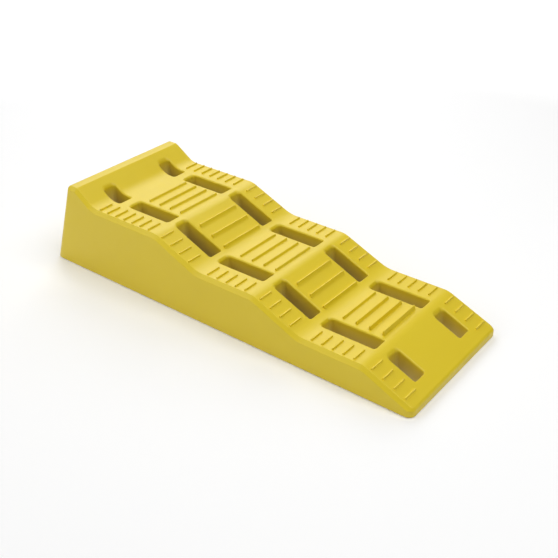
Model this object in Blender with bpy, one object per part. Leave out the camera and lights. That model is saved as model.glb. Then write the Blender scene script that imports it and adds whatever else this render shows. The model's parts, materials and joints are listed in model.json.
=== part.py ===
"""A three-level wheel levelling ramp: one moulded shell on pressed-in rubber feet.

Units are metres and +Z is up. +X points to the low end, where the wheel drives on. The origin is on the
ground, in the middle of the footprint. Stations along the ramp are measured from the nose, the low front
edge, towards the end stop at the high end.
"""

import math

import bmesh
import bpy

# Driving dimensions of the shell
LENGTH = 0.592
WIDTH = 0.209
HEIGHT = 0.122
SIDE_DRAFT = math.radians(1.1)
CHAMFER = 0.0048
NOSE_CORNER = 0.0096
TAIL_CORNER = 0.0065
FOOT_PROUD = 0.001

# Side profile: three levels joined by ramps of one slope, then the end stop
LEVEL_HEIGHTS = (0.0405, 0.0705, 0.1005)
CREST_STATIONS = (0.0687, 0.2287, 0.3887)
RAMP_RUN = 0.0685
RAMP_SLOPE = (LEVEL_HEIGHTS[1] - LEVEL_HEIGHTS[0]) / RAMP_RUN
NOSE_HEIGHT = LEVEL_HEIGHTS[0] - CREST_STATIONS[0] * RAMP_SLOPE
STOP_FOOT = 0.5057
LIP_START = 0.5370
LIP_END = 0.5528
NOSE_RADIUS = 0.003
CREST_RADIUS = 0.030
VALLEY_RADIUS = 0.050
STOP_RADIUS = 0.032
LIP_RADIUS = 0.003
TAIL_RADIUS = 0.006
ARC_STEPS = 3

# Through slots: start and end of each hole, measured from the nose, in two mirrored rows
SLOT_STATIONS = (
    (0.0199, 0.0588),
    (0.0751, 0.1528),
    (0.1673, 0.2248),
    (0.2396, 0.3148),
    (0.3268, 0.3873),
    (0.3996, 0.4728),
    (0.4893, 0.5233),
)
SLOT_ROW = 0.0538
SLOT_WIDTH = 0.0214
SLOT_CORNER = 0.0035

# Grip bars across the middle: four on each level, three on each of the two upper ramps
BAR_HALF_LENGTH = 0.036
BAR_TOP = 0.0013
BAR_BACK_RUN = 0.0008
LEVEL_BAR_STARTS = (0.0817, 0.2424, 0.4033)
LEVEL_BAR_PITCH = 0.01905
LEVEL_BAR_COUNT = 4
LEVEL_BAR_HEIGHT = 0.0029
FIRST_LEVEL_TALLEST_BAR = 0.0057
LEVEL_BAR_RISER = 0.0014
RAMP_BAR_OFFSET = 0.0198
RAMP_BAR_PITCH = 0.0205
RAMP_BAR_COUNT = 3
RAMP_BAR_HEIGHT = 0.0034
RAMP_BAR_RISER = 0.0036

# Short grip ticks on both margins
TICK_INNER = 0.0746
TICK_OUTER = 0.0959
TICK_PITCH = 0.015
TICK_HEIGHT = 0.0018
TICK_RISER = 0.0005
TICK_ROWS = ((0.0139, 4), (0.0829, 5), (0.1744, 4), (0.2432, 5), (0.3352, 4), (0.4042, 7))
EMBED = 0.0015

# Underside: skin, outer walls, slot sleeves and the rib grid between them
SKIN = 0.0035
WALL = 0.0042
RIB = 0.0026
NOSE_SOLID = 0.012
TAIL_RIBS = (0.5137, 0.5497)
CUT_BELOW = 0.01

# Rubber feet, each pressed into a boss on one of these cross ribs, counted from the nose
FOOT_RIBS = (0, 3, 6, 9, 13)
FOOT_ROW = 0.086
FOOT_RADIUS = 0.011
FOOT_THICKNESS = 0.004
STEM_RADIUS = 0.0045
STEM_TOP = 0.013
BOSS_RADIUS = 0.0085
FIT_GAP = 0.0003
ROUND_SEGMENTS = 16


def clear_scene():
    for obj in list(bpy.data.objects):
        bpy.data.objects.remove(obj, do_unlink=True)


def plastic(name, colour, roughness):
    """A Principled material with one colour and no metal."""
    material = bpy.data.materials.new(name)
    material.use_nodes = True
    shader = material.node_tree.nodes["Principled BSDF"]
    shader.inputs["Base Color"].default_value = (*colour, 1.0)
    shader.inputs["Roughness"].default_value = roughness
    shader.inputs["Metallic"].default_value = 0.0
    return material


def add_object(name, bm, material=None):
    """Turns a bmesh into an object of the scene, with its faces pointing out."""
    bmesh.ops.recalc_face_normals(bm, faces=bm.faces)
    mesh = bpy.data.meshes.new(name)
    bm.to_mesh(mesh)
    bm.free()
    obj = bpy.data.objects.new(name, mesh)
    bpy.context.scene.collection.objects.link(obj)
    if material:
        mesh.materials.append(material)
    return obj


def as_helper(obj):
    """Marks an object as a cutter or an addition for a Boolean, not a piece."""
    obj.hide_render = True
    obj.display_type = "WIRE"
    return obj


def x_of(station):
    return LENGTH / 2 - station


def half_width(z):
    """Half of the shell's width at height z above the shell's base."""
    return WIDTH / 2 - z * math.tan(SIDE_DRAFT)


def corner_points():
    """The shell's side profile as sharp corners: (station, height, rounding radius)."""
    corners = [(0.0, 0.0, 0.0), (0.0, NOSE_HEIGHT, NOSE_RADIUS)]
    for crest, height, next_crest in zip(CREST_STATIONS, LEVEL_HEIGHTS, CREST_STATIONS[1:]):
        corners.append((crest, height, CREST_RADIUS))
        corners.append((next_crest - RAMP_RUN, height, VALLEY_RADIUS))
    corners.append((CREST_STATIONS[-1], LEVEL_HEIGHTS[-1], CREST_RADIUS))
    corners.append((STOP_FOOT, LEVEL_HEIGHTS[-1], STOP_RADIUS))
    corners.append((LIP_START, HEIGHT, LIP_RADIUS))
    corners.append((LIP_END, HEIGHT, TAIL_RADIUS))
    corners.append((LENGTH, 0.0, 0.0))
    return corners


def rounded(corners, steps):
    """Replaces each corner that has a radius with an arc of that many steps."""
    points = []
    for index, (station, height, radius) in enumerate(corners):
        if radius == 0.0:
            points.append((station, height))
            continue
        before = corners[index - 1]
        after = corners[(index + 1) % len(corners)]
        into = math.atan2(height - before[1], station - before[0])
        out = math.atan2(after[1] - height, after[0] - station)
        turn = (out - into + math.pi) % (2 * math.pi) - math.pi
        reach = radius * math.tan(abs(turn) / 2)
        side = math.copysign(1.0, turn)
        start = (station - reach * math.cos(into), height - reach * math.sin(into))
        centre = (start[0] - side * radius * math.sin(into), start[1] + side * radius * math.cos(into))
        for step in range(steps + 1):
            heading = into + turn * step / steps
            points.append(
                (
                    centre[0] + side * radius * math.sin(heading),
                    centre[1] - side * radius * math.cos(heading),
                )
            )
    return points


def height_at(station, line):
    """Height at a station of a line that runs from nose to tail: points of (station, height, ...)."""
    for start, end in zip(line, line[1:]):
        if start[0] <= station <= end[0] and start[0] < end[0]:
            return start[1] + (end[1] - start[1]) * (station - start[0]) / (end[0] - start[0])
    return 0.0


def inner_corners():
    """The underside of the skin: the sharp profile moved inwards by the skin or the wall."""
    outer = corner_points()
    lines = []
    for (start, low, _), (end, high, _) in zip(outer, outer[1:]):
        run = end - start
        rise = high - low
        size = math.hypot(run, rise)
        offset = SKIN if run > abs(rise) / 2 else WALL
        lines.append((start + rise / size * offset, low - run / size * offset, run / size, rise / size))
    corners = []
    for first, second in zip(lines, lines[1:]):
        cross = first[2] * second[3] - first[3] * second[2]
        gap = (second[0] - first[0], second[1] - first[1])
        along = (gap[0] * second[3] - gap[1] * second[2]) / cross
        corners.append((first[0] + first[2] * along, first[1] + first[3] * along, 0.0))
    foot = lines[-1]
    corners.append((foot[0] - foot[2] * foot[1] / foot[3], 0.0, 0.0))
    corners.insert(0, (lines[0][0], 0.0, 0.0))
    return corners


def extrude_outline(bm, outline, near, far):
    """Adds a closed body: an outline of (station, height) between two widths, each a function of height."""
    sides = []
    for width in (near, far):
        sides.append([bm.verts.new((x_of(s), width(z), z)) for s, z in outline])
    bm.faces.new(sides[0])
    bm.faces.new(list(reversed(sides[1])))
    count = len(outline)
    for index in range(count):
        follow = (index + 1) % count
        bm.faces.new((sides[0][index], sides[0][follow], sides[1][follow], sides[1][index]))


def add_cylinder(bm, x, y, radius, low, high):
    """Adds a closed round body between two heights."""
    ring = bmesh.ops.create_cone(
        bm, cap_ends=True, segments=ROUND_SEGMENTS, radius1=radius, radius2=radius, depth=high - low
    )
    bmesh.ops.translate(bm, verts=ring["verts"], vec=(x, y, (low + high) / 2))


def add_boolean(obj, name, operation, other):
    modifier = obj.modifiers.new(name, "BOOLEAN")
    modifier.operation = operation
    modifier.solver = "EXACT"
    modifier.object = other


def plan_inset(distance, radius):
    """How far a corner that is rounded in plan pulls the side in, at this distance from the end."""
    if distance >= radius:
        return 0.0
    return radius - math.sqrt(radius**2 - (radius - distance) ** 2)


def body_sections():
    """Cross-sections from nose to tail: (station at the base, station at the top, top height, inset)."""
    outline = rounded(corner_points(), ARC_STEPS)[1:-1]
    sections = [(s, s, z, plan_inset(s, NOSE_CORNER)) for s, z in outline[: -ARC_STEPS - 1]]
    for step in range(1, ARC_STEPS + 1):
        distance = NOSE_CORNER * (1 - math.cos(0.5 * math.pi * step / ARC_STEPS))
        sections.append((distance, distance, height_at(distance, outline), plan_inset(distance, NOSE_CORNER)))
    sections.sort()
    for step, (s, z) in enumerate(outline[-ARC_STEPS - 1 :]):
        distance = TAIL_CORNER * (1 - math.sin(0.5 * math.pi * step / ARC_STEPS))
        sections.append((LENGTH - distance, s, z, plan_inset(distance, TAIL_CORNER)))
    return sections


def section_ring(bm, base, top, height, inset):
    """One cross-section's corners, from the base's -Y side over the top to its +Y side."""
    shoulder = height - CHAMFER
    points = (
        (half_width(0.0) - inset, 0.0),
        (half_width(shoulder) - inset, shoulder),
        (half_width(shoulder) - CHAMFER - inset, height),
    )
    near = [(-y, z) for y, z in points]
    far = [(y, z) for y, z in reversed(points)]
    return [bm.verts.new((x_of(base + (top - base) * z / height), y, z)) for y, z in near + far]


def solid_body():
    """The shell's outer form, lofted through its cross-sections."""
    bm = bmesh.new()
    rings = [section_ring(bm, *section) for section in body_sections()]
    for first, second in zip(rings, rings[1:]):
        for index in range(len(first)):
            follow = (index + 1) % len(first)
            bm.faces.new((first[index], first[follow], second[follow], second[index]))
    bm.faces.new(rings[0])
    bm.faces.new(list(reversed(rings[-1])))
    return bm


def slot_outline(start, end, steps):
    """A rounded rectangle in plan: (station, offset from the row's centre line)."""
    half = SLOT_WIDTH / 2 - SLOT_CORNER
    centres = (
        (start + SLOT_CORNER, -half, math.pi),
        (end - SLOT_CORNER, -half, 1.5 * math.pi),
        (end - SLOT_CORNER, half, 0.0),
        (start + SLOT_CORNER, half, 0.5 * math.pi),
    )
    points = []
    for station, offset, first_angle in centres:
        for step in range(steps + 1):
            angle = first_angle + 0.5 * math.pi * step / steps
            points.append((station + SLOT_CORNER * math.cos(angle), offset + SLOT_CORNER * math.sin(angle)))
    return points


def slot_cutters():
    bm = bmesh.new()
    for start, end in SLOT_STATIONS:
        outline = slot_outline(start, end, ARC_STEPS)
        for row in (-SLOT_ROW, SLOT_ROW):
            rings = []
            for z in (-CUT_BELOW, HEIGHT + CUT_BELOW):
                rings.append([bm.verts.new((x_of(s), row + offset, z)) for s, offset in outline])
            bm.faces.new(rings[0])
            bm.faces.new(list(reversed(rings[1])))
            for index in range(len(outline)):
                follow = (index + 1) % len(outline)
                bm.faces.new((rings[0][index], rings[0][follow], rings[1][follow], rings[1][index]))
    return as_helper(add_object("slot_cutters", bm))


def cross_rib_stations():
    """A cross rib at the middle of each slot and of each bridge between two slots, then the tail's ribs."""
    stations = []
    for index, (start, end) in enumerate(SLOT_STATIONS[:-1]):
        stations.append((start + end) / 2)
        stations.append((end + SLOT_STATIONS[index + 1][0]) / 2)
    return stations + list(TAIL_RIBS)


def cell_outline(start, end, inner):
    """One cell's side outline: from below the base up to the underside of the skin."""
    points = [(start, -CUT_BELOW), (start, height_at(start, inner))]
    points += [(s, z) for s, z, _ in inner if start < s < end and z > 0.0]
    if end < inner[-1][0]:
        points.append((end, height_at(end, inner)))
        points.append((end, -CUT_BELOW))
    else:
        foot, peak = inner[-1], inner[-2]
        lean = (foot[0] - peak[0]) / peak[1]
        points.append((foot[0] + lean * CUT_BELOW, -CUT_BELOW))
    return points


def cell_cutters():
    """The hollows of the underside. What stays between them is the rib grid and the slot sleeves."""
    bm = bmesh.new()
    inner = inner_corners()
    ribs = cross_rib_stations()
    starts = [NOSE_SOLID] + [station + RIB / 2 for station in ribs]
    ends = [station - RIB / 2 for station in ribs] + [inner[-1][0]]
    sleeve_inner = SLOT_ROW - SLOT_WIDTH / 2 - RIB
    sleeve_outer = SLOT_ROW + SLOT_WIDTH / 2 + RIB
    for start, end in zip(starts, ends):
        outline = cell_outline(start, end, inner)
        for side in (-1, 1):
            extrude_outline(bm, outline, lambda z: side * RIB / 2, lambda z: side * sleeve_inner)
            extrude_outline(
                bm, outline, lambda z: side * sleeve_outer, lambda z: side * (half_width(z) - WALL)
            )
    pocket_starts = [end + RIB for _, end in SLOT_STATIONS]
    pocket_ends = [start - RIB for start, _ in SLOT_STATIONS[1:]] + [inner[-1][0]]
    for start, end in zip(pocket_starts, pocket_ends):
        outline = cell_outline(start, end, inner)
        for side in (-1, 1):
            extrude_outline(
                bm,
                outline,
                lambda z: side * (SLOT_ROW - SLOT_WIDTH / 2),
                lambda z: side * (SLOT_ROW + SLOT_WIDTH / 2),
            )
    cells = as_helper(add_object("cell_cutters", bm))
    add_boolean(cells, "keep_bosses", "DIFFERENCE", foot_bosses())
    return cells


def foot_places():
    ribs = cross_rib_stations()
    return [(x_of(ribs[number]), side * FOOT_ROW) for number in FOOT_RIBS for side in (-1, 1)]


def foot_bosses():
    bm = bmesh.new()
    for x, y in foot_places():
        add_cylinder(bm, x, y, BOSS_RADIUS, -2 * CUT_BELOW, HEIGHT)
    return as_helper(add_object("foot_bosses", bm))


def foot_sockets():
    """Clearance for each foot: a wide recess for its pad and a bore for its stem."""
    bm = bmesh.new()
    for x, y in foot_places():
        recess_top = FOOT_THICKNESS - FOOT_PROUD + FIT_GAP
        bore_top = STEM_TOP + FIT_GAP
        profile = (
            (FOOT_RADIUS + FIT_GAP, -CUT_BELOW),
            (FOOT_RADIUS + FIT_GAP, recess_top),
            (STEM_RADIUS + FIT_GAP, recess_top),
            (STEM_RADIUS + FIT_GAP, bore_top),
        )
        add_turned(bm, x, y, profile)
    return as_helper(add_object("foot_sockets", bm))


def add_turned(bm, x, y, profile):
    """Adds a closed turned body from its outer (radius, height) profile, bottom to top."""
    rings = []
    for radius, z in profile:
        ring = []
        for step in range(ROUND_SEGMENTS):
            angle = 2 * math.pi * step / ROUND_SEGMENTS
            ring.append(bm.verts.new((x + radius * math.cos(angle), y + radius * math.sin(angle), z)))
        rings.append(ring)
    bm.faces.new(list(reversed(rings[0])))
    bm.faces.new(rings[-1])
    for low, high in zip(rings, rings[1:]):
        for index in range(ROUND_SEGMENTS):
            follow = (index + 1) % ROUND_SEGMENTS
            bm.faces.new((low[index], low[follow], high[follow], high[index]))


def add_bar(bm, edge, peak, riser, ends, profile):
    """Adds one grip bar on the deck: a riser that faces the nose, a level top and a steep back."""
    foot = edge - riser
    back = edge + BAR_TOP
    tail = back + BAR_BACK_RUN
    top = height_at(edge, profile) + peak
    outline = (
        (foot, height_at(foot, profile) - EMBED),
        (foot, height_at(foot, profile)),
        (edge, top),
        (back, top),
        (tail, height_at(tail, profile)),
        (tail, height_at(tail, profile) - EMBED),
    )
    extrude_outline(bm, outline, lambda z: ends[0], lambda z: ends[1])


def grip_bars():
    """The bars across the middle of the levels and of the two upper ramps."""
    bm = bmesh.new()
    profile = rounded(corner_points(), ARC_STEPS)
    ends = (-BAR_HALF_LENGTH, BAR_HALF_LENGTH)
    shrink = (FIRST_LEVEL_TALLEST_BAR - LEVEL_BAR_HEIGHT) / (LEVEL_BAR_COUNT - 1)
    for level, start in enumerate(LEVEL_BAR_STARTS):
        for index in range(LEVEL_BAR_COUNT):
            peak = LEVEL_BAR_HEIGHT
            if level == 0:
                peak = FIRST_LEVEL_TALLEST_BAR - shrink * index
            edge = start + LEVEL_BAR_PITCH * index
            add_bar(bm, edge, peak, LEVEL_BAR_RISER, ends, profile)
    for crest in CREST_STATIONS[1:]:
        for index in range(RAMP_BAR_COUNT):
            edge = crest - RAMP_BAR_OFFSET - RAMP_BAR_PITCH * index
            add_bar(bm, edge, RAMP_BAR_HEIGHT, RAMP_BAR_RISER, ends, profile)
    return as_helper(add_object("grip_bars", bm))


def grip_ticks():
    """The short raised ticks on both margins."""
    bm = bmesh.new()
    profile = rounded(corner_points(), ARC_STEPS)
    for first, count in TICK_ROWS:
        for index in range(count):
            edge = first + index * TICK_PITCH
            for ends in ((TICK_INNER, TICK_OUTER), (-TICK_OUTER, -TICK_INNER)):
                add_bar(bm, edge, TICK_HEIGHT, TICK_RISER, ends, profile)
    return as_helper(add_object("grip_ticks", bm))


def build_shell(material, stand):
    shell = add_object("ramp_shell", solid_body(), material)
    additions = (grip_bars(), grip_ticks())
    cutters = (cell_cutters(), slot_cutters(), foot_sockets())
    for obj in additions:
        add_boolean(shell, obj.name, "UNION", obj)
    for obj in cutters:
        add_boolean(shell, obj.name, "DIFFERENCE", obj)
    for obj in (shell, *additions, *cutters, bpy.data.objects["foot_bosses"]):
        obj.parent = stand


def build_feet(material, stand):
    """Ten rubber feet: a pad on the ground and a barbed stem up in the boss."""
    names = ("nose", "level_1", "level_2", "level_3", "end")
    profile = (
        (FOOT_RADIUS - 0.0006, 0.0),
        (FOOT_RADIUS, 0.0006),
        (FOOT_RADIUS, FOOT_THICKNESS),
        (STEM_RADIUS - 0.0006, FOOT_THICKNESS),
        (STEM_RADIUS - 0.0006, FOOT_THICKNESS + 0.004),
        (STEM_RADIUS, FOOT_THICKNESS + 0.0048),
        (STEM_RADIUS - 0.0014, STEM_TOP + FOOT_PROUD),
    )
    for index, (x, y) in enumerate(foot_places()):
        bm = bmesh.new()
        add_turned(bm, 0.0, 0.0, profile)
        side = "right" if y < 0 else "left"
        foot = add_object(f"foot_{names[index // 2]}_{side}", bm, material)
        foot.location = (x, y, -FOOT_PROUD)
        foot.data.shade_smooth()
        foot.data.set_sharp_from_angle(angle=math.radians(40))
        foot.parent = stand


def main():
    clear_scene()
    stand = bpy.data.objects.new("stand", None)
    stand.location = (0.0, 0.0, FOOT_PROUD)
    bpy.context.scene.collection.objects.link(stand)
    yellow = plastic("yellow_plastic", (0.74, 0.56, 0.045), 0.48)
    rubber = plastic("black_rubber", (0.02, 0.02, 0.02), 0.8)
    build_shell(yellow, stand)
    build_feet(rubber, stand)


main()
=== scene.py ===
"""Looks of the three-level levelling ramp: a finely rounded yellow shell on grooved rubber feet.

Everything is in metres, in the frame's own axes. Stations run along the ramp from its nose, the low front
edge, to its tail, so a station grows towards -X. "Across" is the distance from the ramp's middle plane,
before the draft of its sides.
"""

import json
import math

import bmesh
import bpy
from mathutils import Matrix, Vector
from mathutils.geometry import delaunay_2d_cdt


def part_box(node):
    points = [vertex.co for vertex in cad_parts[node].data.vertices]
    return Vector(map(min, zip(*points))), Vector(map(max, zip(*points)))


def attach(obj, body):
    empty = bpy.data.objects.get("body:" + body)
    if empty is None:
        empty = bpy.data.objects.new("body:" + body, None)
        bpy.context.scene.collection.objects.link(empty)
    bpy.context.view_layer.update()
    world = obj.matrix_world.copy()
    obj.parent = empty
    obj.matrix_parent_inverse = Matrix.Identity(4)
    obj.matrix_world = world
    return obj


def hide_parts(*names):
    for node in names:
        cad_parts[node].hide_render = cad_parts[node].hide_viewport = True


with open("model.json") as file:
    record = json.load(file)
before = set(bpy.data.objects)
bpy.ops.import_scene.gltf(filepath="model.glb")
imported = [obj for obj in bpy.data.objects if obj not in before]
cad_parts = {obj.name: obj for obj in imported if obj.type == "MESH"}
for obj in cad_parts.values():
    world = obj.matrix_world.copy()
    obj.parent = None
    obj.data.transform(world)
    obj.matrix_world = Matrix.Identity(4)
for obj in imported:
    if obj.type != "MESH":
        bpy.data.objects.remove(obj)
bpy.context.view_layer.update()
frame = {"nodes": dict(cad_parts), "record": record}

SHELL_LOW, SHELL_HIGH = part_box("ramp_shell")
NOSE_X = SHELL_HIGH.x
BASE_Z = SHELL_LOW.z
LENGTH = SHELL_HIGH.x - SHELL_LOW.x
WIDTH = SHELL_HIGH.y - SHELL_LOW.y
HEIGHT = SHELL_HIGH.z - SHELL_LOW.z
MOUNTS = {mount["name"]: mount["pos_m"] for mount in frame["record"]["mounts"]}
FEET = [name for name in sorted(frame["nodes"]) if name.startswith("foot_")]

# Side profile
LEVEL_HEIGHTS = [MOUNTS[f"level_{level}_deck"][2] - BASE_Z for level in (1, 2, 3)]
CREST_STATIONS = (0.0687, 0.2287, 0.3887)
RAMP_RUN = 0.0685
RAMP_SLOPE = (LEVEL_HEIGHTS[1] - LEVEL_HEIGHTS[0]) / RAMP_RUN
NOSE_HEIGHT = LEVEL_HEIGHTS[0] - CREST_STATIONS[0] * RAMP_SLOPE
STOP_FOOT = 0.5057
LIP_START = 0.5370
LIP_END = 0.5528
CREST_RADIUS = 0.030
VALLEY_RADIUS = 0.050
STOP_RADIUS = 0.032
LIP_RADIUS = 0.003
SIDE_DRAFT = math.radians(1.1)
WALL_LEAN = math.atan2(HEIGHT, LENGTH - LIP_END)
DECK_RUN_ON = 0.02
DECK_STEPS = 8

# Rim: a small round at the nose, chamfered sides and a larger round at the tail, in rounded plan corners
NOSE_CORNER = 0.0096
TAIL_CORNER = 0.0065
NOSE_RADIUS = 0.003
CHAMFER = 0.0048
CHAMFER_RADIUS = 0.0008
TAIL_RADIUS = 0.006
CHAMFER_STEPS = 3
RIM_RINGS = 2 * CHAMFER_STEPS + 1
CORNER_STEPS = 10
LINE_OVERRUN = 0.005
WALL_FOOT_RADIUS = 0.0006
WALL_FOOT_STEPS = 3
CLOSE = 1e-6

# Through slots: their lip is crisp at the nose end and softest at the uphill end. The record's openings stop
# short of the walls, to clear the rounded corners of the CAD's slots
SLOT_CORNERS = (0.003, 0.0055)
SLOT_NOSE_LIP_RADIUS = 0.0012
SLOT_SIDE_LIP_RADIUS = 0.0024
SLOT_UPHILL_LIP_RADIUS = 0.004
SLOT_RINGS = 6
SLOT_DRAFT = math.radians(1.0)
OPENING_CORNER = 0.0035
OPENING_CLEARANCE = 0.0001
OPENING_INSET = OPENING_CORNER * (1 - math.sqrt(0.5)) + OPENING_CLEARANCE

# Grip bars across the middle: four on each level, three on each of the two upper ramps
BAR_END = 0.0358
BAR_END_RUN = 0.0005
BAR_TOP = 0.0013
BAR_BACK_RUN = 0.0008
BAR_EDGE_RADIUS = 0.0004
LEVEL_BAR_FOOT_RADIUS = 0.0008
RAMP_BAR_FOOT_RADIUS = 0.005
LEVEL_BAR_STARTS = (0.0817, 0.2424, 0.4033)
LEVEL_BAR_PITCH = 0.01905
LEVEL_BAR_COUNT = 4
LEVEL_BAR_HEIGHT = 0.0029
FIRST_LEVEL_TALLEST_BAR = 0.0057
LEVEL_BAR_RISER = 0.0014
RAMP_BAR_OFFSET = 0.0198
RAMP_BAR_PITCH = 0.0205
RAMP_BAR_COUNT = 3
RAMP_BAR_HEIGHT = 0.0036
RAMP_BAR_RISER = 0.0024

# Grip ticks along both margins
TICK_INNER = 0.0746
TICK_OUTER = 0.0959
TICK_PITCH = 0.015
TICK_HEIGHT = 0.0022
TICK_RISER = 0.0005
TICK_EDGE_RADIUS = 0.0002
TICK_ROWS = ((0.0139, 4), (0.0829, 5), (0.1744, 4), (0.2432, 5), (0.3352, 4), (0.4042, 7))
GRIP_STEPS = 3

# Underside
SKIN = 0.0035
WALL = 0.0042
RIB = 0.0026
NOSE_SOLID = 0.012
TAIL_RIBS = (0.5137, 0.5497)
CELL_DRAFT = math.radians(0.4)
CELL_FILLET = 0.0008
CELL_FILLET_STEPS = 3
CELL_FILLET_ANGLE = math.radians(30)
CELL_MARGIN = 3 * CELL_FILLET
BOSS_RADIUS = 0.0085
BOSS_TAPER = 0.0006
CUT_BELOW = 0.01
SHELL_CREASE = 38

# Rubber feet
FOOT_THICKNESS = 0.004
STEM_RADIUS = 0.0045
FIT_GAP = 0.0003
FOOT_SEGMENTS = 48
FOOT_GROOVES = 3
GROOVE_WIDTH = 0.0006
GROOVE_DEPTH = 0.0005
PAD_ROUNDING = 0.0006
PAD_STEPS = 4
BARB = 0.0005
BARB_SHARES = (0.4, 0.5)
FOOT_CREASE = 50

# Plastic. A grain is (scale, bump strength, bump distance)
YELLOWS = ((0.76, 0.57, 0.012), (0.80, 0.61, 0.016))
# Painted shade in the slots: a darker, greyer colour mixed into the slot walls, more the deeper they go
SLOT_PAINTED_SHADE = (0.60, 0.48, 0.20)
SLOT_DEPTH = "slot_depth"
SLOT_SHADE_DEPTHS = (0.002, 0.030)
PLASTIC_IOR = 1.5
PLASTIC_ROUGHNESS = (0.38, 0.48)
FLOW_SCALE = 14.0
FLOW_DETAIL = 3.0
GLOSS_SCALE = 60.0
GLOSS_DETAIL = 4.0
PLASTIC_GRAIN = (1400.0, 0.12, 0.0003)
GRAIN_DETAIL = 2.0

# Rubber
RUBBERS = ((0.014, 0.014, 0.014), (0.03, 0.03, 0.029))
RUBBER_ROUGHNESS = 0.7
RUBBER_SCALE = 200.0
RUBBER_DETAIL = 4.0
RUBBER_GRAIN = (2500.0, 0.2, 0.0002)

# Light, floor and camera
SKY_STRENGTH = 0.9
SOFTBOX_DISTANCE = 2.0
SOFTBOX_SIZE = 1.4
SOFTBOXES = (
    ("top_front", (0.423, 0.0, 0.906), 25.7),
    ("back_left", (-0.542, 0.542, 0.643), 18.0),
    ("back_right", (-0.542, -0.542, 0.643), 11.8),
    ("left_low", (0.0, 0.966, 0.259), 4.4),
    ("right_low", (0.0, -0.966, 0.259), 4.3),
    ("front_high", (0.299, -0.299, 0.906), 0.4),
)
FLOOR_COLOUR = (0.95, 0.95, 0.95, 1.0)
FLOOR_ROUGHNESS = 0.9
FLOOR_GLOW = 0.075
FLOOR_FAR_GLOW = 0.8
FLOOR_FAR = (0.9, 2.0)
FLOOR_SIZE = 1.95
LENS = 56.48
SENSOR = 36.0
CAMERA_AZIMUTH = 37.67
CAMERA_ELEVATION = 31.75
CAMERA_DISTANCE = 1.1586
CAMERA_TARGET = (0.0304, 0.0, 0.0329)


def station_of(x):
    return NOSE_X - x


def x_of(station):
    return NOSE_X - station


# ---------------------------------------------------------------- outlines


def rounded(corners, steps):
    """Replaces each corner (station, height, radius) that has a radius with an arc of that many steps."""
    points = []
    for index, (station, height, radius) in enumerate(corners):
        if radius == 0.0:
            points.append((station, height))
            continue
        before = corners[index - 1]
        after = corners[index + 1]
        into = math.atan2(height - before[1], station - before[0])
        out = math.atan2(after[1] - height, after[0] - station)
        turn = (out - into + math.pi) % (2 * math.pi) - math.pi
        reach = radius * math.tan(abs(turn) / 2)
        side = math.copysign(1.0, turn)
        centre = (
            station - reach * math.cos(into) - side * radius * math.sin(into),
            height - reach * math.sin(into) + side * radius * math.cos(into),
        )
        for step in range(steps + 1):
            heading = into + turn * step / steps
            points.append(
                (
                    centre[0] + side * radius * math.sin(heading),
                    centre[1] - side * radius * math.cos(heading),
                )
            )
    return points


def height_on(line, station):
    """Height at a station of a line of (station, height) points that runs from nose to tail."""
    low, high = 0, len(line) - 1
    while high - low > 1:
        middle = (low + high) // 2
        if line[middle][0] <= station:
            low = middle
        else:
            high = middle
    (start, first), (end, last) = line[low], line[high]
    share = (station - start) / (end - start)
    return first + (last - first) * share


def deck_corners():
    """The deck's side profile beside the bars, nose to tail, run on past both ends."""
    before = -DECK_RUN_ON
    corners = [(before, NOSE_HEIGHT + before * RAMP_SLOPE, 0.0)]
    for level, crest in enumerate(CREST_STATIONS):
        height = LEVEL_HEIGHTS[level]
        corners.append((crest, height, CREST_RADIUS))
        if level + 1 < len(CREST_STATIONS):
            corners.append((CREST_STATIONS[level + 1] - RAMP_RUN, height, VALLEY_RADIUS))
    corners.append((STOP_FOOT, LEVEL_HEIGHTS[-1], STOP_RADIUS))
    corners.append((LIP_START, HEIGHT, LIP_RADIUS))
    corners.append((LENGTH, HEIGHT, 0.0))
    return corners


DECK = rounded(deck_corners(), DECK_STEPS)


def bar_profile(edge, peak, riser, radius, foot_radius):
    """Side profile of a grip bar on the deck: a riser that faces the nose, a level top and a steep back."""
    foot = edge - riser
    back = edge + BAR_TOP
    tail = back + BAR_BACK_RUN
    top = height_on(DECK, edge) + peak
    rise = math.atan2(top - height_on(DECK, foot), riser)
    turn = rise - math.atan2(height_on(DECK, foot) - height_on(DECK, foot - riser), riser)
    start = foot - foot_radius * math.tan(turn / 2) - CLOSE
    corners = [(start, height_on(DECK, start), 0.0)]
    corners.append((foot, height_on(DECK, foot), foot_radius))
    corners.append((edge, top, radius))
    corners.append((back, top, radius))
    corners.append((tail, height_on(DECK, tail), radius))
    corners.append((tail + 2 * radius, height_on(DECK, tail + 2 * radius), 0.0))
    return rounded(corners, GRIP_STEPS)


def grip_bars():
    """Profiles of all the bars across the middle."""
    bars = []
    shrink = (FIRST_LEVEL_TALLEST_BAR - LEVEL_BAR_HEIGHT) / (LEVEL_BAR_COUNT - 1)
    for level, start in enumerate(LEVEL_BAR_STARTS):
        for index in range(LEVEL_BAR_COUNT):
            peak = LEVEL_BAR_HEIGHT
            if level == 0:
                peak = FIRST_LEVEL_TALLEST_BAR - shrink * index
            edge = start + LEVEL_BAR_PITCH * index
            bars.append(bar_profile(edge, peak, LEVEL_BAR_RISER, BAR_EDGE_RADIUS, LEVEL_BAR_FOOT_RADIUS))
    for crest in CREST_STATIONS[1:]:
        for index in range(RAMP_BAR_COUNT):
            edge = crest - RAMP_BAR_OFFSET - RAMP_BAR_PITCH * index
            bars.append(
                bar_profile(edge, RAMP_BAR_HEIGHT, RAMP_BAR_RISER, BAR_EDGE_RADIUS, RAMP_BAR_FOOT_RADIUS)
            )
    return bars


def grip_ticks():
    """Profiles of all the short ticks of one margin."""
    ticks = []
    for first, count in TICK_ROWS:
        for index in range(count):
            edge = first + index * TICK_PITCH
            ticks.append(bar_profile(edge, TICK_HEIGHT, TICK_RISER, TICK_EDGE_RADIUS, TICK_EDGE_RADIUS))
    return ticks


BARS = grip_bars()
TICKS = grip_ticks()


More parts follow.
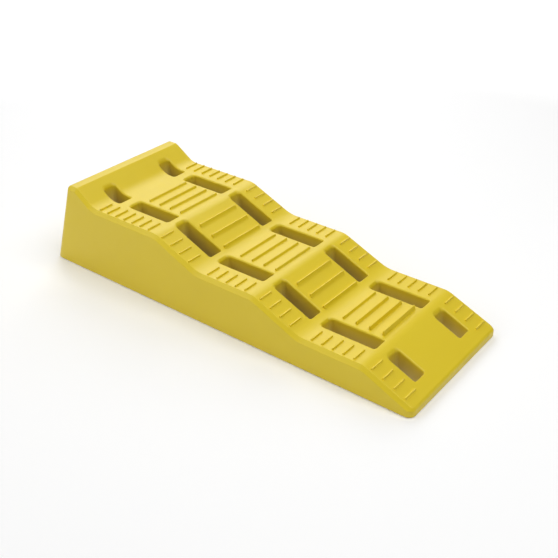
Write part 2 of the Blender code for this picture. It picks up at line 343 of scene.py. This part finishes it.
# ---------------------------------------------------------------- height of the top surface


def rounded_box_distance(point, low, high, corner_low, corner_high):
    """Signed distance of a plan point to a box with rounded corners, negative inside, and the outward normal.

    corner_low rounds the two corners at the low station, corner_high the two at the high station.
    """
    middle = ((low[0] + high[0]) / 2, (low[1] + high[1]) / 2)
    half = ((high[0] - low[0]) / 2, (high[1] - low[1]) / 2)
    along = point[0] - middle[0]
    across = point[1] - middle[1]
    radius = corner_low if along < 0 else corner_high
    reach_along = abs(along) - half[0] + radius
    reach_across = abs(across) - half[1] + radius
    if reach_along > 0 and reach_across > 0:
        size = math.hypot(reach_along, reach_across)
        distance = size - radius
        normal = (reach_along / size, reach_across / size)
    elif reach_along > reach_across:
        distance = reach_along - radius
        normal = (1.0, 0.0)
    else:
        distance = reach_across - radius
        normal = (0.0, 1.0)
    return distance, (math.copysign(normal[0], along), math.copysign(normal[1], across))


def edge_profile(corners, steps):
    """A rounded edge as (distance in from the rim, drop below the deck) pairs, from the rim inwards."""
    points = rounded(corners, steps)[1:-1]
    rim = points[0][0]
    return [(along - rim, -height) for along, height in points]


NOSE_EDGE = edge_profile(((0.0, -1.0, 0.0), (0.0, 0.0, NOSE_RADIUS), (1.0, 0.0, 0.0)), RIM_RINGS)
SIDE_EDGE = edge_profile(
    ((0.0, -1.0, 0.0), (0.0, -CHAMFER, CHAMFER_RADIUS), (CHAMFER, 0.0, CHAMFER_RADIUS), (1.0, 0.0, 0.0)),
    CHAMFER_STEPS,
)
TAIL_EDGE = edge_profile(
    ((-1.0 / math.tan(WALL_LEAN), -1.0, 0.0), (0.0, 0.0, TAIL_RADIUS), (1.0, 0.0, 0.0)), RIM_RINGS
)
TAIL_RIM = LIP_END + TAIL_RADIUS * math.tan(WALL_LEAN / 2) * math.cos(WALL_LEAN)
RIM_LOW = (0.0, -WIDTH / 2)
RIM_HIGH = (TAIL_RIM, WIDTH / 2)
DRAFT_BAND = (TICK_OUTER + BAR_END_RUN, WIDTH / 2 - SIDE_EDGE[-1][0])


def rim_edge(normal):
    """The rim's edge profile where the rim faces this way in plan."""
    nose = max(0.0, -normal[0]) ** 2
    tail = max(0.0, normal[0]) ** 2
    side = normal[1] ** 2
    profile = []
    for first, second, third in zip(NOSE_EDGE, TAIL_EDGE, SIDE_EDGE):
        profile.append([nose * a + tail * b + side * c for a, b, c in zip(first, second, third)])
    return profile


def rim_drop(distance, normal):
    """How far the rim's edge lowers the top surface, at this signed distance from the rim."""
    profile = rim_edge(normal)
    inward = max(0.0, -distance)
    for (start, first), (end, last) in zip(profile, profile[1:]):
        if inward < end:
            return first + (last - first) * (inward - start) / (end - start)
    return 0.0


def lip_radius(normal):
    """Radius of a slot's lip on the side of the slot that lies this way from its middle."""
    nose = max(0.0, -normal[0]) ** 2
    uphill = max(0.0, normal[0]) ** 2
    side = normal[1] ** 2
    return nose * SLOT_NOSE_LIP_RADIUS + uphill * SLOT_UPHILL_LIP_RADIUS + side * SLOT_SIDE_LIP_RADIUS


def lip_drop(distance, normal):
    """How far a slot's rounded lip lowers the top surface, at this distance from the slot's wall."""
    radius = lip_radius(normal)
    inner = radius - max(distance, 0.0)
    if inner <= 0.0:
        return 0.0
    return radius - math.sqrt(max(0.0, radius**2 - inner**2))


def slot_boxes():
    """Plan corners (station, across) of each slot, from the openings that the frame's record states."""
    boxes = []
    for opening in frame["record"]["physics"]["openings"]:
        low, high = opening["box_m"]
        boxes.append(
            (
                (station_of(high[0]) - OPENING_INSET, low[1] - OPENING_INSET),
                (station_of(low[0]) + OPENING_INSET, high[1] + OPENING_INSET),
            )
        )
    return boxes


SLOTS = slot_boxes()


def share_between(value, start, end):
    """0 at start, 1 at end, straight between them."""
    return min(1.0, max(0.0, (value - start) / (end - start)))


def grip_rise(profiles, station):
    """How far the bar or tick over this station, if any, stands above the deck."""
    for profile in profiles:
        if profile[0][0] < station < profile[-1][0]:
            return height_on(profile, station) - height_on(DECK, station)
    return 0.0


def grip_height(station, across):
    """Height of the grip bar or tick, if any, over this plan point, with its sloping ends."""
    reach = abs(across)
    if reach < BAR_END + BAR_END_RUN:
        return share_between(reach, BAR_END + BAR_END_RUN, BAR_END) * grip_rise(BARS, station)
    if TICK_INNER - BAR_END_RUN < reach < TICK_OUTER + BAR_END_RUN:
        share = share_between(reach, TICK_INNER - BAR_END_RUN, TICK_INNER)
        share *= share_between(reach, TICK_OUTER + BAR_END_RUN, TICK_OUTER)
        return share * grip_rise(TICKS, station)
    return 0.0


def top_height(station, across):
    """Height of the finished top surface above the shell's base."""
    height = height_on(DECK, station) + grip_height(station, across)
    height -= rim_drop(*rounded_box_distance((station, across), RIM_LOW, RIM_HIGH, NOSE_CORNER, TAIL_CORNER))
    reach = SLOT_UPHILL_LIP_RADIUS
    for low, high in SLOTS:
        near_along = low[0] - reach < station < high[0] + reach
        near_across = low[1] - reach < across < high[1] + reach
        if near_along and near_across:
            height -= lip_drop(*rounded_box_distance((station, across), low, high, *SLOT_CORNERS))
    return height


def drafted(station, across):
    """Finished distance from the middle plane of a plan point, with the sides leaning in."""
    rim_height = height_on(DECK, station) - SIDE_EDGE[0][1]
    share = share_between(abs(across), *DRAFT_BAND)
    return across - math.copysign(share * rim_height * math.tan(SIDE_DRAFT), across)


# ---------------------------------------------------------------- plan of constrained lines


def box_ring(low, high, corner_low, corner_high, offset_of):
    """A closed anticlockwise outline round a box with rounded corners.

    offset_of gives how far the outline lies outside the box where its normal is this one (negative: inside).
    """
    points = []
    quadrants = (
        (high[0], high[1], corner_high, 0.0),
        (low[0], high[1], corner_low, 0.5 * math.pi),
        (low[0], low[1], corner_low, math.pi),
        (high[0], low[1], corner_high, 1.5 * math.pi),
    )
    for along, across, corner, first in quadrants:
        centre_along = along - math.copysign(corner, math.cos(first + 0.25 * math.pi))
        centre_across = across - math.copysign(corner, math.sin(first + 0.25 * math.pi))
        for step in range(CORNER_STEPS + 1):
            angle = first + 0.5 * math.pi * step / CORNER_STEPS
            normal = (math.cos(angle), math.sin(angle))
            radius = corner + offset_of(normal)
            points.append((centre_along + radius * normal[0], centre_across + radius * normal[1]))
    return points


def rim_ring(ring):
    """The rim's outline at one ring of its edge: 0 is the rim itself, RIM_RINGS where the deck starts."""
    return box_ring(
        RIM_LOW, RIM_HIGH, NOSE_CORNER, TAIL_CORNER, lambda normal: -rim_edge(normal)[ring][0]
    )


def slot_ring(low, high, ring):
    """A slot's outline at one ring of its lip: 0 is the slot's wall, SLOT_RINGS where the deck starts."""
    share = 1 - math.sin(0.5 * math.pi * (1 - ring / SLOT_RINGS))
    return box_ring(low, high, *SLOT_CORNERS, lambda normal: lip_radius(normal) * share)


def add_polyline(plan, points, closed=False):
    """Adds constrained edges through these plan points, and returns the points' numbers."""
    first = len(plan["points"])
    plan["points"] += [Vector(point) for point in points]
    numbers = list(range(first, first + len(points)))
    plan["edges"] += list(zip(numbers, numbers[1:]))
    if closed:
        plan["edges"].append((numbers[-1], numbers[0]))
    return numbers


def add_grip_lines(plan, profile, across):
    """Lines along a bar's or tick's profile stations, and along its ends."""
    for station, _ in profile:
        add_polyline(plan, ((station, across[0]), (station, across[-1])))
    for reach in across:
        add_polyline(plan, ((profile[0][0], reach), (profile[-1][0], reach)))


def top_plan():
    """All the lines that the top surface bends along. The first face is the rim, the rest are the slots."""
    plan = {"points": [], "edges": [], "faces": []}
    plan["faces"].append(add_polyline(plan, rim_ring(0), closed=True))
    for low, high in SLOTS:
        plan["faces"].append(add_polyline(plan, slot_ring(low, high, 0), closed=True))
        for ring in range(1, SLOT_RINGS + 1):
            add_polyline(plan, slot_ring(low, high, ring), closed=True)
    for ring in range(1, RIM_RINGS + 1):
        add_polyline(plan, rim_ring(ring), closed=True)
    beyond = WIDTH / 2 + LINE_OVERRUN
    for station, _ in DECK[1:-1]:
        add_polyline(plan, ((station, -beyond), (station, beyond)))
    for profile in BARS:
        add_grip_lines(plan, profile, (-BAR_END - BAR_END_RUN, -BAR_END, BAR_END, BAR_END + BAR_END_RUN))
    for profile in TICKS:
        across = (TICK_INNER - BAR_END_RUN, TICK_INNER, TICK_OUTER, TICK_OUTER + BAR_END_RUN)
        add_grip_lines(plan, profile, across)
        add_grip_lines(plan, profile, [-reach for reach in across])
    return plan


def filled_plan(plan):
    """Triangles inside the plan's first face and outside its other faces: (points, faces)."""
    points, _, faces, _, _, sources = delaunay_2d_cdt(
        plan["points"], plan["edges"], plan["faces"], 0, CLOSE / 10, True
    )
    kept = [face for face, source in zip(faces, sources) if list(source) == [0]]
    return points, kept


# ---------------------------------------------------------------- meshes


def add_object(name, bm):
    bmesh.ops.recalc_face_normals(bm, faces=bm.faces)
    mesh = bpy.data.meshes.new(name)
    bm.to_mesh(mesh)
    bm.free()
    obj = bpy.data.objects.new(name, mesh)
    bpy.context.scene.collection.objects.link(obj)
    return obj


def ordered_loops(edges):
    """Groups boundary edges into closed loops of vertices, in order."""
    neighbours = {}
    for edge in edges:
        first, second = edge.verts
        neighbours.setdefault(first, []).append(second)
        neighbours.setdefault(second, []).append(first)
    loops = []
    unused = dict.fromkeys(neighbours)
    while unused:
        start = next(iter(unused))
        loop = [start]
        del unused[start]
        while True:
            follow = [vert for vert in neighbours[loop[-1]] if vert in unused]
            if not follow:
                break
            loop.append(follow[0])
            del unused[follow[0]]
        loops.append(loop)
    return loops


def base_place(station, across):
    """Where the wall under a rim point meets the base: (station, across)."""
    if station > STOP_FOOT:
        station = STOP_FOOT + (station - STOP_FOOT) * (LENGTH - STOP_FOOT) / (RIM_HIGH[0] - STOP_FOOT)
    return station, across


def slot_foot(place, low, high):
    """Where the drafted wall under a slot's edge point meets the base: (station, across)."""
    _, normal = rounded_box_distance(place, low, high, *SLOT_CORNERS)
    inset = height_on(DECK, place[0]) * math.tan(SLOT_DRAFT)
    return place[0] - normal[0] * inset, place[1] - normal[1] * inset


def bridge(bm, upper, lower):
    for index in range(len(upper)):
        follow = (index + 1) % len(upper)
        bm.faces.new((upper[index], upper[follow], lower[follow], lower[index]))


def wall_down(bm, loop, places, box, corners, facing):
    """Walls from a loop of the top surface down to the base, with a small rounding where they end.

    places are the (station, across) of the wall's foot under each vertex. box and corners give the wall's
    rounded outline, and facing is 1 where it faces away from the box, -1 where it faces into it.
    """
    upper = loop
    for step in range(WALL_FOOT_STEPS + 1):
        angle = 0.5 * math.pi * step / WALL_FOOT_STEPS
        inset = facing * WALL_FOOT_RADIUS * (1 - math.cos(angle))
        z = BASE_Z + WALL_FOOT_RADIUS * (1 - math.sin(angle))
        lower = []
        for place in places:
            _, normal = rounded_box_distance(place, *box, *corners)
            station = place[0] - normal[0] * inset
            across = place[1] - normal[1] * inset
            lower.append(bm.verts.new((x_of(station), across, z)))
        bridge(bm, upper, lower)
        upper = lower
    return upper


def turned_area(ring):
    """Area inside a ring of vertices seen from above, positive if they run anticlockwise."""
    pairs = zip(ring, ring[1:] + ring[:1])
    return sum(first.co.x * second.co.y - second.co.x * first.co.y for first, second in pairs) / 2


def cap_base(bm, rings):
    """Closes the base between its outer ring, which comes first, and the rings round the slots."""
    plan = {"points": [], "edges": [], "faces": []}
    verts = []
    for ring in rings:
        if turned_area(ring) < 0:
            ring.reverse()
        points = [(vert.co.x, vert.co.y) for vert in ring]
        plan["faces"].append(add_polyline(plan, points, closed=True))
        verts += ring
    points, _, faces, origins, _, sources = delaunay_2d_cdt(
        plan["points"], plan["edges"], plan["faces"], 0, CLOSE, True
    )
    for face, source in zip(faces, sources):
        if list(source) == [0]:
            bm.faces.new([verts[origins[number][0]] for number in face])


def outer_solid():
    """The shell as one solid without its hollows: top surface, slots, outer walls and base."""
    bm = bmesh.new()
    points, faces = filled_plan(top_plan())
    verts = {}
    places = {}
    for number in sorted({number for face in faces for number in face}):
        station, across = points[number]
        z = BASE_Z + top_height(station, across)
        verts[number] = bm.verts.new((x_of(station), drafted(station, across), z))
        places[verts[number]] = (station, across)
    for face in faces:
        bm.faces.new([verts[number] for number in face])
    loops = ordered_loops([edge for edge in bm.edges if edge.is_boundary])
    loops.sort(key=len, reverse=True)
    rim = [base_place(*places[vert]) for vert in loops[0]]
    box = (RIM_LOW, (LENGTH, WIDTH / 2))
    rings = [wall_down(bm, loops[0], rim, box, (NOSE_CORNER, TAIL_CORNER), 1)]
    for loop in loops[1:]:
        hole = [places[vert] for vert in loop]
        middle = [sum(values) / len(hole) for values in zip(*hole)]
        box = min(SLOTS, key=lambda slot: math.dist(middle, [sum(pair) / 2 for pair in zip(*slot)]))
        foot = [slot_foot(place, *box) for place in hole]
        rings.append(wall_down(bm, loop, foot, box, SLOT_CORNERS, -1))
    cap_base(bm, rings)
    return add_object("ramp_shell_fine", bm)


# ---------------------------------------------------------------- hollows of the underside


def add_prism(bm, outline, near, far):
    """A closed body from a side outline of (station, height) between two widths, functions of height."""
    sides = []
    for width in (near, far):
        sides.append([bm.verts.new((x_of(s), width(z), BASE_Z + z)) for s, z in outline])
    bm.faces.new(sides[0])
    bm.faces.new(list(reversed(sides[1])))
    bridge(bm, sides[0], sides[1])


def side_half_width(z):
    return WIDTH / 2 - z * math.tan(SIDE_DRAFT)


def tail_inner_station(z):
    """Station of the back wall's inner face at a height."""
    return LENGTH - WALL / math.sin(WALL_LEAN) - z / math.tan(WALL_LEAN)


def ceiling(station):
    """Height of the skin's underside."""
    slope = (height_on(DECK, station + CLOSE) - height_on(DECK, station - CLOSE)) / (2 * CLOSE)
    return height_on(DECK, station) - SKIN * math.hypot(1.0, slope)


def cell_outline(start, end):
    """One hollow's side outline: from under the base up to the skin, a little narrower at the top."""
    points = [(start, -CUT_BELOW)]
    stations = [s for s, _ in DECK if start + CELL_MARGIN < s < end - CELL_MARGIN]
    stations = [start] + stations + [end]
    peak = tail_inner_station(HEIGHT - SKIN)
    for station in stations:
        if station < peak:
            points.append((station, ceiling(station)))
    if end <= peak:
        points.append((end, -CUT_BELOW))
    else:
        points.append((peak, HEIGHT - SKIN))
        points.append((tail_inner_station(-CUT_BELOW), -CUT_BELOW))
    top = max(z for _, z in points)
    lean = math.tan(CELL_DRAFT)
    middle = (start + end) / 2
    drafted_points = []
    for station, z in points:
        if abs(station - start) < CLOSE or abs(station - end) < CLOSE:
            station += math.copysign(lean * max(z, 0.0), middle - station)
        drafted_points.append((station, z))
    return drafted_points if top > SKIN else []


def cross_rib_stations():
    """A rib at the middle of each slot and of each bridge between two slots, then the ribs of the tail."""
    spans = sorted({(round(low[0], 5), round(high[0], 5)) for low, high in SLOTS})
    stations = []
    for (start, end), follow in zip(spans, spans[1:]):
        stations.append((start + end) / 2)
        stations.append((end + follow[0]) / 2)
    return spans, stations + list(TAIL_RIBS)


def cell_cutters():
    """All the hollows of the underside. What stays between them is the rib grid and the slot sleeves."""
    bm = bmesh.new()
    spans, ribs = cross_rib_stations()
    starts = [NOSE_SOLID] + [station + RIB / 2 for station in ribs]
    ends = [station - RIB / 2 for station in ribs] + [LENGTH]
    slot_inner = min(abs(low[1]) for low, _ in SLOTS if low[1] > 0)
    slot_outer = max(high[1] for _, high in SLOTS)
    lean = math.tan(CELL_DRAFT)
    for start, end in zip(starts, ends):
        outline = cell_outline(start, end)
        for side in (-1, 1):
            add_prism(
                bm,
                outline,
                lambda z: side * (RIB / 2 + lean * max(z, 0.0)),
                lambda z: side * (slot_inner - RIB - lean * max(z, 0.0)),
            )
            add_prism(
                bm,
                outline,
                lambda z: side * (slot_outer + RIB + lean * max(z, 0.0)),
                lambda z: side * (side_half_width(z) - WALL),
            )
    pocket_starts = [end + RIB for _, end in spans]
    pocket_ends = [start - RIB for start, _ in spans[1:]] + [LENGTH]
    for start, end in zip(pocket_starts, pocket_ends):
        outline = cell_outline(start, end)
        for side in (-1, 1):
            add_prism(
                bm,
                outline,
                lambda z: side * (slot_inner + lean * max(z, 0.0)),
                lambda z: side * (slot_outer - lean * max(z, 0.0)),
            )
    cells = add_object("cells", bm)
    bevel = cells.modifiers.new("fillets", "BEVEL")
    bevel.width = CELL_FILLET
    bevel.segments = CELL_FILLET_STEPS
    bevel.limit_method = "ANGLE"
    bevel.angle_limit = CELL_FILLET_ANGLE
    apply_modifiers(cells)
    return cells


def apply_modifiers(obj):
    """Replaces an object's mesh with what its modifiers make of it."""
    graph = bpy.context.evaluated_depsgraph_get()
    mesh = bpy.data.meshes.new_from_object(obj.evaluated_get(graph), depsgraph=graph)
    obj.modifiers.clear()
    obj.data = mesh


def cut(obj, other, operation="DIFFERENCE"):
    """Applies a Boolean to obj, then removes the other object."""
    boolean = obj.modifiers.new("cut", "BOOLEAN")
    boolean.operation = operation
    boolean.solver = "MANIFOLD"
    boolean.object = other
    apply_modifiers(obj)
    bpy.data.objects.remove(other, do_unlink=True)


def add_turned(bm, x, y, profile, segments):
    """A closed turned body from its outer (radius, z) profile, bottom to top."""
    rings = []
    for radius, z in profile:
        ring = []
        for step in range(segments):
            angle = 2 * math.pi * step / segments
            ring.append(bm.verts.new((x + radius * math.cos(angle), y + radius * math.sin(angle), z)))
        rings.append(ring)
    bm.faces.new(list(reversed(rings[0])))
    bm.faces.new(rings[-1])
    for lower, upper in zip(rings, rings[1:]):
        bridge(bm, lower, upper)


def foot_boxes():
    return [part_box(name) for name in FEET]


def turned_set(name, profile_of):
    """One turned body at each foot."""
    bm = bmesh.new()
    for low, high in foot_boxes():
        middle = (low + high) / 2
        add_turned(bm, middle.x, middle.y, profile_of(low, high), FOOT_SEGMENTS)
    return add_object(name, bm)


def boss_profile(_low, _high):
    """A boss, a little narrower at the top, whichever foot it is for."""
    return (BOSS_RADIUS, BASE_Z - 2 * CUT_BELOW), (BOSS_RADIUS - BOSS_TAPER, HEIGHT + CUT_BELOW)


def socket_profile(low, high):
    """Clearance for a foot: a recess for its pad and a bore for its stem."""
    pad = (high.x - low.x) / 2 + FIT_GAP
    recess = low.z + FOOT_THICKNESS + FIT_GAP
    return (
        (pad, BASE_Z - CUT_BELOW),
        (pad, recess),
        (STEM_RADIUS + FIT_GAP, recess),
        (STEM_RADIUS + FIT_GAP, high.z + FIT_GAP),
    )


def mark_slot_depth(body):
    """Stores, at each point of a slot's walls, its depth below the deck, and 0 everywhere else. The depth
    sets how much painted shade the walls get.
    """
    depth = body.data.attributes.new(SLOT_DEPTH, "FLOAT", "POINT")
    for vertex in body.data.vertices:
        station = station_of(vertex.co.x)
        for low, high in SLOTS:
            inside = low[0] - CLOSE < station < high[0] + CLOSE
            if inside and low[1] - CLOSE < vertex.co.y < high[1] + CLOSE:
                depth.data[vertex.index].value = height_on(DECK, station) - (vertex.co.z - BASE_Z)


def shell(material):
    """The finished moulding, in place of the frame's own."""
    body = outer_solid()
    cells = cell_cutters()
    cut(cells, turned_set("bosses", boss_profile))
    cut(body, cells)
    cut(body, turned_set("sockets", socket_profile))
    finish_shading(body, SHELL_CREASE)
    mark_slot_depth(body)
    body.data.materials.clear()
    body.data.materials.append(material)
    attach(body, "root")
    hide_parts("ramp_shell")
    return body


def finish_shading(obj, crease):
    """Smooth shading that keeps edges sharper than the crease angle, and keeps flat faces flat."""
    obj.data.shade_smooth()
    obj.data.set_sharp_from_angle(angle=math.radians(crease))
    weighted = obj.modifiers.new("flat_faces_first", "WEIGHTED_NORMAL")
    weighted.mode = "FACE_AREA"
    weighted.weight = 100
    weighted.keep_sharp = True


# ---------------------------------------------------------------- feet


def foot_profile(low, high):
    """A rubber foot: rounded pad with ring grooves under it, and a barbed stem."""
    pad = (high.x - low.x) / 2
    bottom = low.z
    top = high.z
    profile = []
    for groove in range(FOOT_GROOVES):
        radius = pad * (groove + 1) / (FOOT_GROOVES + 1)
        profile += [
            (radius - GROOVE_WIDTH, bottom),
            (radius - GROOVE_WIDTH / 2, bottom + GROOVE_DEPTH),
            (radius + GROOVE_WIDTH / 2, bottom + GROOVE_DEPTH),
            (radius + GROOVE_WIDTH, bottom),
        ]
    for step in range(PAD_STEPS + 1):
        angle = 0.5 * math.pi * step / PAD_STEPS
        profile.append(
            (pad - PAD_ROUNDING * (1 - math.sin(angle)), bottom + PAD_ROUNDING * (1 - math.cos(angle)))
        )
    shoulder = bottom + FOOT_THICKNESS
    profile += [
        (pad, shoulder - PAD_ROUNDING / 2),
        (pad - PAD_ROUNDING / 2, shoulder),
        (STEM_RADIUS - BARB, shoulder),
        (STEM_RADIUS - BARB, shoulder + (top - shoulder) * BARB_SHARES[0]),
        (STEM_RADIUS, shoulder + (top - shoulder) * BARB_SHARES[1]),
        (STEM_RADIUS - 2 * BARB, top - BARB / 2),
        (STEM_RADIUS - 3 * BARB, top),
    ]
    return profile


def feet(material):
    for name in FEET:
        low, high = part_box(name)
        middle = (low + high) / 2
        bm = bmesh.new()
        add_turned(bm, middle.x, middle.y, foot_profile(low, high), FOOT_SEGMENTS)
        foot = add_object(name + "_fine", bm)
        finish_shading(foot, FOOT_CREASE)
        foot.data.materials.append(material)
        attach(foot, "root")
        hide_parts(name)


# ---------------------------------------------------------------- materials


def new_material(name, roughness):
    """A material and its tree, principled shader and object coordinates."""
    material = bpy.data.materials.new(name)
    material.use_nodes = True
    tree = material.node_tree
    shader = tree.nodes["Principled BSDF"]
    shader.inputs["Roughness"].default_value = roughness
    place = tree.nodes.new("ShaderNodeTexCoord")
    return material, tree, shader, place


def noise(tree, place, scale, detail):
    texture = tree.nodes.new("ShaderNodeTexNoise")
    texture.inputs["Scale"].default_value = scale
    texture.inputs["Detail"].default_value = detail
    tree.links.new(place.outputs["Object"], texture.inputs["Vector"])
    return texture


def mapped(tree, source, low, high, start=0.0, end=1.0):
    """The source's start to end stretched to low to high."""
    node = tree.nodes.new("ShaderNodeMapRange")
    node.inputs["From Min"].default_value = start
    node.inputs["From Max"].default_value = end
    node.inputs["To Min"].default_value = low
    node.inputs["To Max"].default_value = high
    tree.links.new(source, node.inputs["Value"])
    return node.outputs["Result"]


def tinted(tree, place, scale, detail, colours):
    """A colour that drifts between two colours with a cloudy noise."""
    cloud = noise(tree, place, scale, detail)
    tint = tree.nodes.new("ShaderNodeMix")
    tint.data_type = "RGBA"
    tint.inputs["A"].default_value = (*colours[0], 1.0)
    tint.inputs["B"].default_value = (*colours[1], 1.0)
    tree.links.new(cloud.outputs["Fac"], tint.inputs["Factor"])
    return tint.outputs["Result"]


def grained(tree, shader, place, scale, strength, distance):
    """Gives the shader a fine bumpy grain."""
    grain = noise(tree, place, scale, GRAIN_DETAIL)
    bump = tree.nodes.new("ShaderNodeBump")
    bump.inputs["Strength"].default_value = strength
    bump.inputs["Distance"].default_value = distance
    tree.links.new(grain.outputs["Fac"], bump.inputs["Height"])
    tree.links.new(bump.outputs["Normal"], shader.inputs["Normal"])


def with_painted_slot_shade(tree, colour):
    """The colour, turning into a darker, greyer painted shade as a slot's wall goes down: painted shade in
    the slots.
    """
    depth = tree.nodes.new("ShaderNodeAttribute")
    depth.attribute_name = SLOT_DEPTH
    inside = mapped(tree, depth.outputs["Fac"], 0.0, 1.0, *SLOT_SHADE_DEPTHS)
    shade = tree.nodes.new("ShaderNodeMix")
    shade.data_type = "RGBA"
    shade.inputs["B"].default_value = (*SLOT_PAINTED_SHADE, 1.0)
    tree.links.new(inside, shade.inputs["Factor"])
    tree.links.new(colour, shade.inputs["A"])
    return shade.outputs["Result"]


def yellow_plastic():
    """Satin moulded polyethylene: fine grain, faint flow marks in colour and gloss, and painted shade down
    the slots' walls.
    """
    material, tree, shader, place = new_material("yellow_polyethylene", sum(PLASTIC_ROUGHNESS) / 2)
    shader.inputs["IOR"].default_value = PLASTIC_IOR
    colour = tinted(tree, place, FLOW_SCALE, FLOW_DETAIL, YELLOWS)
    # The slots' walls get painted shade, darker the deeper they go
    tree.links.new(with_painted_slot_shade(tree, colour), shader.inputs["Base Color"])
    patches = noise(tree, place, GLOSS_SCALE, GLOSS_DETAIL)
    tree.links.new(mapped(tree, patches.outputs["Fac"], *PLASTIC_ROUGHNESS), shader.inputs["Roughness"])
    grained(tree, shader, place, *PLASTIC_GRAIN)
    return material


def black_rubber():
    """Matt black rubber with a coarser look than the plastic."""
    material, tree, shader, place = new_material("black_rubber", RUBBER_ROUGHNESS)
    colour = tinted(tree, place, RUBBER_SCALE, RUBBER_DETAIL, RUBBERS)
    tree.links.new(colour, shader.inputs["Base Color"])
    grained(tree, shader, place, *RUBBER_GRAIN)
    return material


# ---------------------------------------------------------------- floor, light and camera


def floor():
    """A plain white floor, which glows more far from the ramp, where less light falls on it."""
    bm = bmesh.new()
    bmesh.ops.create_grid(bm, x_segments=1, y_segments=1, size=FLOOR_SIZE)
    obj = add_object("floor", bm)
    material, tree, shader, place = new_material("white_floor", FLOOR_ROUGHNESS)
    shader.inputs["Base Color"].default_value = FLOOR_COLOUR
    shader.inputs["Emission Color"].default_value = (1.0, 1.0, 1.0, 1.0)
    distance = tree.nodes.new("ShaderNodeVectorMath")
    distance.operation = "LENGTH"
    tree.links.new(place.outputs["Object"], distance.inputs[0])
    glow = mapped(tree, distance.outputs["Value"], FLOOR_GLOW, FLOOR_FAR_GLOW, *FLOOR_FAR)
    tree.links.new(glow, shader.inputs["Emission Strength"])
    obj.data.materials.append(material)


def softbox(name, direction, energy):
    """A square area light that faces the ramp from a direction."""
    light = bpy.data.lights.new(name, "AREA")
    light.shape = "SQUARE"
    light.size = SOFTBOX_SIZE
    light.energy = energy
    obj = bpy.data.objects.new(name, light)
    bpy.context.scene.collection.objects.link(obj)
    obj.visible_camera = False
    towards = Vector(direction).normalized()
    obj.location = towards * SOFTBOX_DISTANCE
    obj.rotation_mode = "QUATERNION"
    obj.rotation_quaternion = towards.to_track_quat("Z", "Y")


def sky(strength):
    """A pale backdrop past the floor's edge. It is only seen, and lights nothing."""
    world = bpy.data.worlds.new("studio")
    bpy.context.scene.world = world
    world.use_nodes = True
    background = world.node_tree.nodes["Background"]
    background.inputs["Color"].default_value = (1.0, 1.0, 1.0, 1.0)
    background.inputs["Strength"].default_value = strength
    world.cycles_visibility.diffuse = False
    world.cycles_visibility.glossy = False
    world.cycles_visibility.transmission = False


def camera():
    data = bpy.data.cameras.new("camera")
    data.lens = LENS
    data.sensor_width = SENSOR
    obj = bpy.data.objects.new("camera", data)
    bpy.context.scene.collection.objects.link(obj)
    azimuth = math.radians(CAMERA_AZIMUTH)
    elevation = math.radians(CAMERA_ELEVATION)
    back = Vector(
        (
            math.sin(azimuth) * math.cos(elevation),
            -math.cos(azimuth) * math.cos(elevation),
            math.sin(elevation),
        )
    )
    obj.location = Vector(CAMERA_TARGET) + back * CAMERA_DISTANCE
    obj.rotation_mode = "QUATERNION"
    obj.rotation_quaternion = back.to_track_quat("Z", "Y")
    bpy.context.scene.camera = obj


def main():
    camera()
    shell(yellow_plastic())
    feet(black_rubber())
    floor()
    sky(SKY_STRENGTH)
    for name, direction, energy in SOFTBOXES:
        softbox(name, direction, energy)
    bpy.context.scene.view_settings.view_transform = "Standard"


main()
